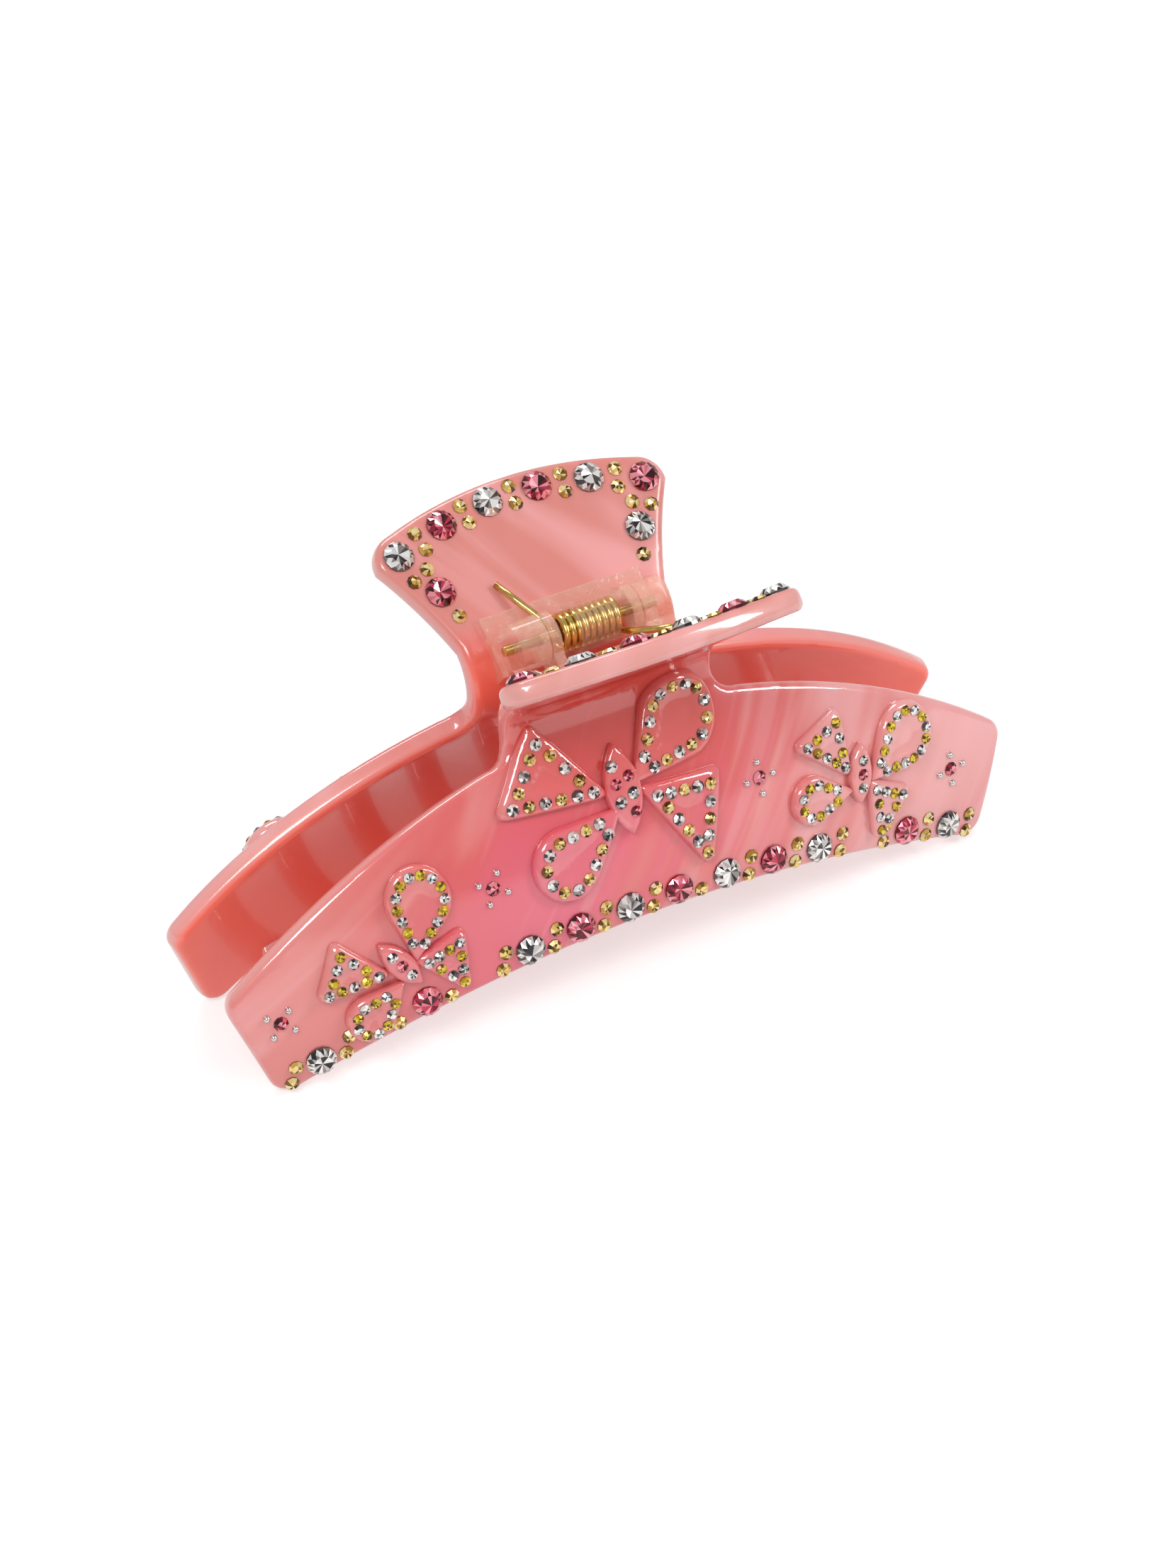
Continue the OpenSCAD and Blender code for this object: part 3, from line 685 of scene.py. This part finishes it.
def loopOutline(loop, rim):
    # round a loop, starting at the knot
    knotEnd, centre = Vector(loop[0]), Vector(loop[1])
    axis = centre - knotEnd
    far, r = axis.length + rim, loop[2] + rim
    side = math.asin(r / far)
    aim = math.atan2(axis.y, axis.x)
    start = knotEnd - axis.normalized() * rim
    first, last = aim - side - math.pi / 2, aim + side + math.pi / 2
    tangent = math.sqrt(far * far - r * r)
    out = [start + heading(aim - side) * tangent * i / 6 for i in range(1, 6)]
    bend = [centre + heading(first + (last - first) * i / 28) * r for i in range(29)]
    home = [start + heading(aim + side) * tangent * i / 6 for i in range(5, 0, -1)]
    return [start] + out + bend + home


def tailOutline(tail, rim):
    corners = [Vector(c[0]) for c in tail]
    middle = sum(corners, Vector((0, 0))) / 3
    grown = [c + (c - middle).normalized() * rim * bows["grow"] for c in corners]
    radii = [bows["point"], bows["corner"], bows["corner"]]
    spots = []
    for k in range(3):
        here, before, after = grown[k], grown[k - 1], grown[(k + 1) % 3]
        rounded = cornerArc(here, before - here, after - here, radii[k], 5)
        towards = cornerArc(after, here - after, before - after, radii[(k + 1) % 3], 5)[0]
        spots += rounded + [rounded[-1].lerp(towards, i / 6) for i in range(1, 6)]
    return spots


def knotOutline(knot):
    long, wide = knot
    r = (long * long + wide * wide) / (2 * wide)
    spots = []
    for side in (1, -1):
        for i in range(10):
            y = -long + 2 * long * i / 10
            spots.append(Vector((side * (math.sqrt(r * r - y * y) - r + wide), side * y)))
    return spots


def lineDistance(spot, line):
    # how far a place is from a closed line
    best = 1e9
    for a, b in zip(line, line[1:] + line[:1]):
        run = b - a
        share = max(0, min(1, (spot - a).dot(run) / max(run.length_squared, 1e-9)))
        best = min(best, (spot - a - run * share).length)
    return best


def raisedShape(bm, bow, outline, thick, line=None):
    # one shape of a bow, wrapped on to the jaw; it crowns along the line of its stones and sinks inside it
    part = slab([onBow(bow, p) for p in outline], thick + bows["sink"], bows["edge"], bows["edgeSteps"], False)
    lows = [min(v.co[k] for v in part.verts) for k in (0, 1)]
    highs = [max(v.co[k] for v in part.verts) for k in (0, 1)]
    fine = bows["grid"] if line else bows["coarse"]
    cutGrid(part, steps(lows[0], highs[0], fine), steps(lows[1], highs[1], fine))
    line = [Vector(onBow(bow, p)) for p in line or []]
    for v in part.verts:
        if line and v.co.z > thick / 2:
            away = lineDistance(v.co.xy, line) / bow["rim"]
            share = max(0, min(1, (away - bows["dipFrom"]) / bows["dipOver"]))
            v.co.z -= bows["dip"] * share * share * (3 - 2 * share)
        v.co = wrap(v.co.x, runOf(min(v.co.y, bows["topmost"])), v.co.z - bows["sink"])
    bmesh.ops.recalc_face_normals(part, faces=part.faces[:])
    joinInto(bm, part)


def buildBow(which, turned):
    bow = bows[which]
    bm = bmesh.new()
    for loop in bow["loops"]:
        raisedShape(bm, bow, loopOutline(loop, bow["rim"]), bows["thick"], loopOutline(loop, 0))
    for tail in bow["tails"]:
        raisedShape(bm, bow, tailOutline(tail, bow["rim"]), bows["tailThick"], [Vector(c[0]) for c in tail])
    raisedShape(bm, bow, knotOutline(bow["knot"]), bows["thick"])
    body = sideOf(turned)
    name = f"{body}_{which}_bow"
    makePiece(bm, name + "_resin", body + "Resin", body, [name], True, turned)


for which in ("large", "left", "right"):
    for turned in (False, True):
        buildBow(which, turned)
print("bows made")


def loopSpots(loop, stone):
    # places of a loop's stones; the first and last stay a stone apart
    knotEnd, centre = Vector(loop[0]), Vector(loop[1])
    axis = centre - knotEnd
    r = loop[2]
    tangent = math.sqrt(axis.length_squared - r * r)
    side = math.asin(r / axis.length)
    arcLen = (math.pi + 2 * side) * r
    aim = math.atan2(axis.y, axis.x)
    first = bows["apart"] * stone / math.sin(side)
    spots = []
    for i in range(loop[3]):
        run = first + i / (loop[3] - 1) * (2 * tangent + arcLen - 2 * first)
        if run < tangent:
            spots.append(knotEnd + heading(aim - side) * run)
        elif run > tangent + arcLen:
            spots.append(knotEnd + heading(aim + side) * (2 * tangent + arcLen - run))
        else:
            spots.append(centre + heading(aim - side - math.pi / 2 + (run - tangent) / r) * r)
    return spots


def tailSpots(tail):
    spots = []
    for k in range(3):
        here, after = Vector(tail[k][0]), Vector(tail[(k + 1) % 3][0])
        spots += [here.lerp(after, i / tail[k][1]) for i in range(tail[k][1])]
    return spots


# a crystal, in parts of its radius
crystal = {
    "table": 0.60, "tableSink": -0.10, "crown": 0.52, "girdle": 0.14, "foot": -0.12, "offCentre": 0.22,
    "kite": 0.05, "nod": 0.05, "spin": math.pi / 4, "large": 14, "small": 9,
    "orderFrom": 0.1,  # an angle that no facet's middle is at
    # painted reflections: each facet's glint is drawn from these; the girdle walls take a share of it, a dark
    # outline round each stone
    "glintTones": (0.0, 0.15, 0.4, 0.6, 0.8, 1.0, 1.0), "wallGlintShare": 0.25,
}


def roundOrder(spot):
    # by height, then round the crystal, so that each run gives a facet the same painted glint
    return round(spot.z, 2), (math.atan2(spot.y, spot.x) - crystal["orderFrom"]) % math.tau


def addCrystal(bm, layer, place, r, many):
    # a faceted crystal: a table of sectors, a crown of facets and a thin girdle
    size = r * mm
    made = bmesh.ops.create_circle(bm, cap_ends=True, segments=crystal["large" if many else "small"],
                                   radius=crystal["table"] * size)["verts"]
    table = list({f for v in made for f in v.link_faces})
    rim = [e for e in bm.edges if e.verts[0] in made and e.verts[1] in made]
    bmesh.ops.translate(bm, verts=made, vec=(0, 0, crystal["crown"] * size))
    crown = bmesh.ops.extrude_edge_only(bm, edges=rim)["geom"]
    outer = kindOf(crown, bmesh.types.BMVert)
    wider = 1 / crystal["table"]
    bmesh.ops.scale(bm, verts=outer, vec=(wider, wider, crystal["girdle"] / crystal["crown"]))
    edges = [e for e in kindOf(crown, bmesh.types.BMEdge) if all(v in outer for v in e.verts)]
    facets = kindOf(crown, bmesh.types.BMFace)
    wall = bmesh.ops.extrude_edge_only(bm, edges=edges)["geom"]
    foot = kindOf(wall, bmesh.types.BMVert)
    bmesh.ops.translate(bm, verts=foot, vec=(0, 0, (crystal["foot"] - crystal["girdle"]) * size))
    walls = kindOf(wall, bmesh.types.BMFace)
    sectors = bmesh.ops.poke(bm, faces=table, offset=crystal["tableSink"] * size)
    bits = sectors["faces"] + walls
    mids = sectors["verts"]
    if many:
        kites = bmesh.ops.poke(bm, faces=facets, offset=crystal["kite"] * size)
        bits += kites["faces"]
        mids = mids + kites["verts"]
    else:
        bits += facets
    bits.sort(key=lambda f: roundOrder(f.calc_center_median() / size))
    off = crystal["offCentre"] * size
    bmesh.ops.translate(bm, verts=sectors["verts"], vec=(random.uniform(-off, off), random.uniform(-off, off), 0))
    spin = Matrix.Rotation(random.random() * crystal["spin"], 4, "Z")
    nod = Matrix.Rotation(random.uniform(-crystal["nod"], crystal["nod"]), 4, "X")
    bmesh.ops.transform(bm, matrix=place @ nod @ spin, verts=made + outer + foot + mids)
    for f in bits:
        # painted reflection: each facet gets a random glint, the walls a darker one
        glint = random.choice(crystal["glintTones"]) * (crystal["wallGlintShare"] if f in walls else 1)
        for loop in f.loops:
            loop[layer] = (glint, glint, glint, 1)


def buildCrystals(name, places, r, finish, turned, many):
    # every crystal of one group as one piece
    bm = bmesh.new()
    layer = bm.loops.layers.float_color.new("facet")
    for place in places:
        addCrystal(bm, layer, place, r, many)
    bmesh.ops.recalc_face_normals(bm, faces=bm.faces[:])
    makePiece(bm, name + "_crystals", finish, sideOf(turned), [name], False, turned)


def onJaw(x, z, lift=0.0):
    return placeAt(x, runOf(z), lift)


def onHandle(x, s):
    # s runs up the handle, on its inner face
    run = handleRun + s
    return placeAt(x * ringAt(run) / ringAt(run, -clip["plate"]), run, -clip["plate"], True)


# stones along a jaw: c clear, p pink; small ones beside each: b both, l the lower one alone
row = {
    "code": "c.p.cpcpcpc.pc", "gold": "bbllbbbblbbbbbb",
    "pitch": 6.6, "rise": 2.2, "large": 1.85, "small": 0.9,
    "lean": 0.3, "above": 1.1, "below": 1.0,
}
grip = {
    "count": 6, "pitch": 6.55, "arcR": 50.0, "arcTop": 15.5, "side": (13.3, 7.1),
    "above": 0.9, "below": 1.3, "spread": 0.02, "gold": [(15.8, 9.3), (13.7, 10.2), (12.3, 3.7)],
}
stars = {  # x, z and turn of each
    "at": [(-46.9, 9.95, 10), (-19.7, 19.25, 20), (16.3, 20.95, 45), (43.9, 11.25, 45)],
    "reach": 1.85, "bead": 0.42, "beadLift": 0.1,
}


def rowX(i):
    return row["pitch"] * (i - (len(row["code"]) - 1) / 2)


def rowPlaces(letter):
    return [onJaw(rowX(i), lowZ(rowX(i)) + row["rise"]) for i, c in enumerate(row["code"]) if c == letter]


def rowGold():
    places = []
    for i, c in enumerate(row["gold"]):
        x = rowX(i) - row["pitch"] / 2
        if c == "b":
            places.append(onJaw(x + row["lean"], lowZ(x) + row["rise"] + row["above"]))
        places.append(onJaw(x - row["lean"], lowZ(x) + row["rise"] - row["below"]))
    return places


def gripArc(i):
    # x and s along a handle's tip, i pitches from the middle
    x = grip["pitch"] * i
    return x, grip["arcTop"] - drop(grip["arcR"], x)


def gripPlaces(first):
    middle = (grip["count"] - 1) / 2
    places = [onHandle(*gripArc(i - middle)) for i in range(first, grip["count"], 2)]
    x, s = grip["side"]
    return places + [onHandle(x if first == 0 else -x, s)]


def gripGold():
    places = []
    for i in range(grip["count"] - 1):
        x, s = gripArc(i - grip["count"] // 2 + 1)
        places += [onHandle(x * (1 + grip["spread"]), s + grip["above"]),
                   onHandle(x * (1 - grip["spread"]), s - grip["below"])]
    for side in (-1, 1):
        places += [onHandle(side * x, s) for x, s in grip["gold"]]
    return places


def bowPlaces(which, parity):
    # every other stone round the loops and tails
    bow = bows[which]
    lines = [loopSpots(loop, bow["stone"]) for loop in bow["loops"]] + [tailSpots(tail) for tail in bow["tails"]]
    return [onJaw(*onBow(bow, p), bows["thick"]) for line in lines for p in line[parity::2]]


def knotPlaces(which, letter):
    bow = bows[which]
    return [onJaw(*onBow(bow, p), bows["thick"])
            for p, c in zip(bow["knotStones"], bow["knotCode"]) if c == letter]


def bowClear(which):
    return bowPlaces(which, 0) + knotPlaces(which, "c")


for turned in (False, True):
    body = sideOf(turned)
    large, small = row["large"], row["small"]
    largeBow, smallBow = bows["large"]["stone"], bows["small"]["stone"]
    knots = [p for which in ("large", "left", "right") for p in knotPlaces(which, "p")]
    for name, places, r, finish, many in (
            ("row_clear", rowPlaces("c"), large, "clear_crystal", True),
            ("row_pink", rowPlaces("p"), large, "pink_crystal", True),
            ("row_gold", rowGold(), small, "gold_crystal", False),
            ("handle_clear", gripPlaces(1), large, "clear_crystal", True),
            ("handle_pink", gripPlaces(0), large, "pink_crystal", True),
            ("handle_gold", gripGold(), small, "gold_crystal", False),
            ("large_bow_clear", bowClear("large"), largeBow, "clear_crystal", False),
            ("large_bow_gold", bowPlaces("large", 1), largeBow, "gold_crystal", False),
            ("small_bow_clear", bowClear("left") + bowClear("right"), smallBow, "clear_crystal", False),
            ("small_bow_yellow", bowPlaces("left", 1) + bowPlaces("right", 1), smallBow, "yellow_crystal", False),
            ("knot_pink", knots, bows["knotStone"], "pink_crystal", False),
            ("star", [onJaw(x, z) for x, z, turn in stars["at"]], small, "pink_crystal", False)):
        buildCrystals(f"{body}_{name}_stones", places, r, finish, turned, many)
    beads = bmesh.new()
    for x, z, turn in stars["at"]:
        for i in range(4):
            off = heading(math.radians(turn + 45 + 90 * i)) * stars["reach"]
            bmesh.ops.create_icosphere(beads, subdivisions=2, radius=stars["bead"] * mm,
                                       matrix=onJaw(x + off.x, z + off.y, stars["beadLift"]))
    makePiece(beads, body + "_star_beads_silver", "bead", body, [body + "_star_beads"],
              True, turned)
print("crystals and beads set")


# one spring wire: a leg on each handle and the coil between them
spring = {
    "wire": 0.41, "around": 10, "coil": 1.95, "coilX": 3.87, "turns": 9, "steps": 28,
    "legX": 6.8, "legRun": 5.6, "legLift": 0.6,
    "knee": 3.0, "legSpots": (0.5, 0.93), "kneeEase": 0.35, "kneeSpot": 0.6,
}


def addTube(bm, spots, radius, segments):
    # a wire through spots, a ring at each, closed at both ends
    rings = []
    for i, spot in enumerate(spots):
        along = (spots[min(i + 1, len(spots) - 1)] - spots[max(i - 1, 0)]).normalized()
        turn = along.to_track_quat("Z", "X").to_matrix().to_4x4()
        place = Matrix.Translation(spot * mm) @ turn
        ring = bmesh.ops.create_circle(bm, cap_ends=i in (0, len(spots) - 1), segments=segments,
                                       radius=radius * mm, matrix=place)["verts"]
        chosen = set(ring)
        rings.append([e for e in {e for v in ring for e in v.link_edges} if set(e.verts) <= chosen])
    for a, b in zip(rings, rings[1:]):
        bmesh.ops.bridge_loops(bm, edges=a + b)


def springSpots():
    # along the wire, from the front leg's tip to the back leg's
    faceU = bendU + (clip["bendR"] + clip["plate"]) * inwardUz[0]
    faceZ = bendZ + (clip["bendR"] + clip["plate"]) * inwardUz[1]
    tipU = faceU + spring["legRun"] * slopeUz[0] + spring["legLift"] * inwardUz[0]
    tipZ = faceZ + spring["legRun"] * slopeUz[1] + spring["legLift"] * inwardUz[1]
    startAngle = math.atan2(-inwardUz[1], inwardUz[0])       # where the front leg leaves, in (y, z)
    total = 2 * (-math.pi / 2 - startAngle) + 2 * math.pi * spring["turns"]
    count = int(total / (2 * math.pi) * spring["steps"])
    coil = []
    for i in range(count + 1):
        a = startAngle + total * i / count
        x = spring["coilX"] * (1 - 2 * i / count)
        coil.append(Vector((x, spring["coil"] * math.cos(a), clip["pinZ"] + spring["coil"] * math.sin(a))))
    tip = Vector((spring["legX"], -tipU, tipZ))
    square = (Vector((spring["coilX"], tip.y, tip.z)) - coil[0]).normalized()
    knee = coil[0] + square * spring["knee"]
    front = [tip] + [tip.lerp(knee, share) for share in spring["legSpots"]]
    front += [knee, knee - square * spring["kneeEase"], knee.lerp(coil[0], spring["kneeSpot"])]
    back = [Vector((-p.x, -p.y, p.z)) for p in reversed(front)]
    return front + coil + back


wire = bmesh.new()
addTube(wire, springSpots(), spring["wire"], spring["around"])
bmesh.ops.recalc_face_normals(wire, faces=wire.faces[:])
coiled = makePiece(wire, "spring_wire_coil", "wire", None, ["spring_front_arm", "spring_back_arm"])
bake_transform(coiled)

for node, finish, slot in (("front_hinge_block", "clear", "clear_plastic"),
                           ("back_hinge_block", "clear", "clear_plastic"), ("hinge_pin", "brass", "pin_brass")):
    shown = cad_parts[node]
    shown.data.materials.clear()
    shown.data.materials.append(finishes[finish])
print("hinge made")


studio = {
    "floor": (0.55, 0.55, 0.55),
    "speckle": (0.53, 0.53, 0.53),
    "grain": 0.2,
    "floorHalf": 3,
    "floorGlow": 0.58,       # keeps the floor white far from the lamps
    "cast": (0.6, 0.6, 0.6),  # the share of the glow that lights the clip
    "world": 0.45,
    "sky": 0.95,             # what the camera sees past the floor
    "lamps": [  # place, aim, width, height, watts
        ((-0.30, -0.25, 0.48), (0, 0, 0.02), 0.28, 0.16, 1.5),
        ((0.36, -0.28, 0.36), (0, 0, 0.02), 0.12, 0.26, 1.0),
        ((0.05, 0.36, 0.46), (0, 0, 0.03), 0.34, 0.14, 1.0),
    ],
}

material, net = newFinish("pale floor")
seen = net.make("ShaderNodeLightPath")
finishWith(net, {
    "Base Color": net.mix(noise(net, grainOf(net, studio["grain"]), 1.0), studio["floor"], studio["speckle"]),
    "Roughness": 0.9,
    "Specular IOR Level": 0.1,
    "Emission Color": net.mix(seen, studio["cast"], (1.0, 1.0, 1.0)),
    "Emission Strength": studio["floorGlow"],
})
ground = bmesh.new()
bmesh.ops.create_grid(ground, x_segments=1, y_segments=1, size=studio["floorHalf"])
groundMesh = bpy.data.meshes.new("floor")
ground.to_mesh(groundMesh)
ground.free()
groundMesh.materials.append(material)
floor = bpy.data.objects.new("floor", groundMesh)
bpy.context.scene.collection.objects.link(floor)

bpy.context.scene.view_settings.view_transform = "Standard"
world = bpy.data.worlds.new("studio")
bpy.context.scene.world = world
world.use_nodes = True
world.node_tree.nodes.clear()
air = Net(world.node_tree)
light, sky = (air.make("ShaderNodeBackground", None, {"Color": (1, 1, 1), "Strength": studio[k]})
              for k in ("world", "sky"))
both = air.make("ShaderNodeMixShader", None, {0: air.make("ShaderNodeLightPath"), 1: light, 2: sky})
air.make("ShaderNodeOutputWorld", None, {"Surface": both})
for i, (at, aim, wide, tall, watts) in enumerate(studio["lamps"]):
    data = bpy.data.lights.new(f"softbox {i}", "AREA")
    data.shape, data.size, data.size_y, data.energy = "RECTANGLE", wide, tall, watts
    lamp = bpy.data.objects.new(f"softbox {i}", data)
    lamp.location = at
    lamp.rotation_euler = (Vector(aim) - Vector(at)).to_track_quat("-Z", "Y").to_euler()
    bpy.context.scene.collection.objects.link(lamp)

view = {
    "azimuth": 28.566, "elevation": 36.219, "roll": 1.897,
    "distance": 0.51124, "aim": (0, 0, 0.01915),
    "lens": 132.3, "shift": (-0.0038, 0.0007),
}
a, e, roll = (math.radians(view[k]) for k in ("azimuth", "elevation", "roll"))
back = Vector((-math.sin(a) * math.cos(e), -math.cos(a) * math.cos(e), math.sin(e)))
level = Vector((math.cos(a), -math.sin(a), 0))
upright = back.cross(level)
right = level * math.cos(roll) - upright * math.sin(roll)
up = level * math.sin(roll) + upright * math.cos(roll)
lens = bpy.data.cameras.new("view")
lens.sensor_fit = "HORIZONTAL"
lens.sensor_width = 36
lens.lens = view["lens"]
lens.shift_x, lens.shift_y = view["shift"]
lens.clip_end = 20
camera = bpy.data.objects.new("view", lens)
facing = Matrix((right, up, back)).transposed().to_4x4()
camera.matrix_world = Matrix.Translation(Vector(view["aim"]) + back * view["distance"]) @ facing
bpy.context.scene.collection.objects.link(camera)
bpy.context.scene.camera = camera
print("studio and camera set")
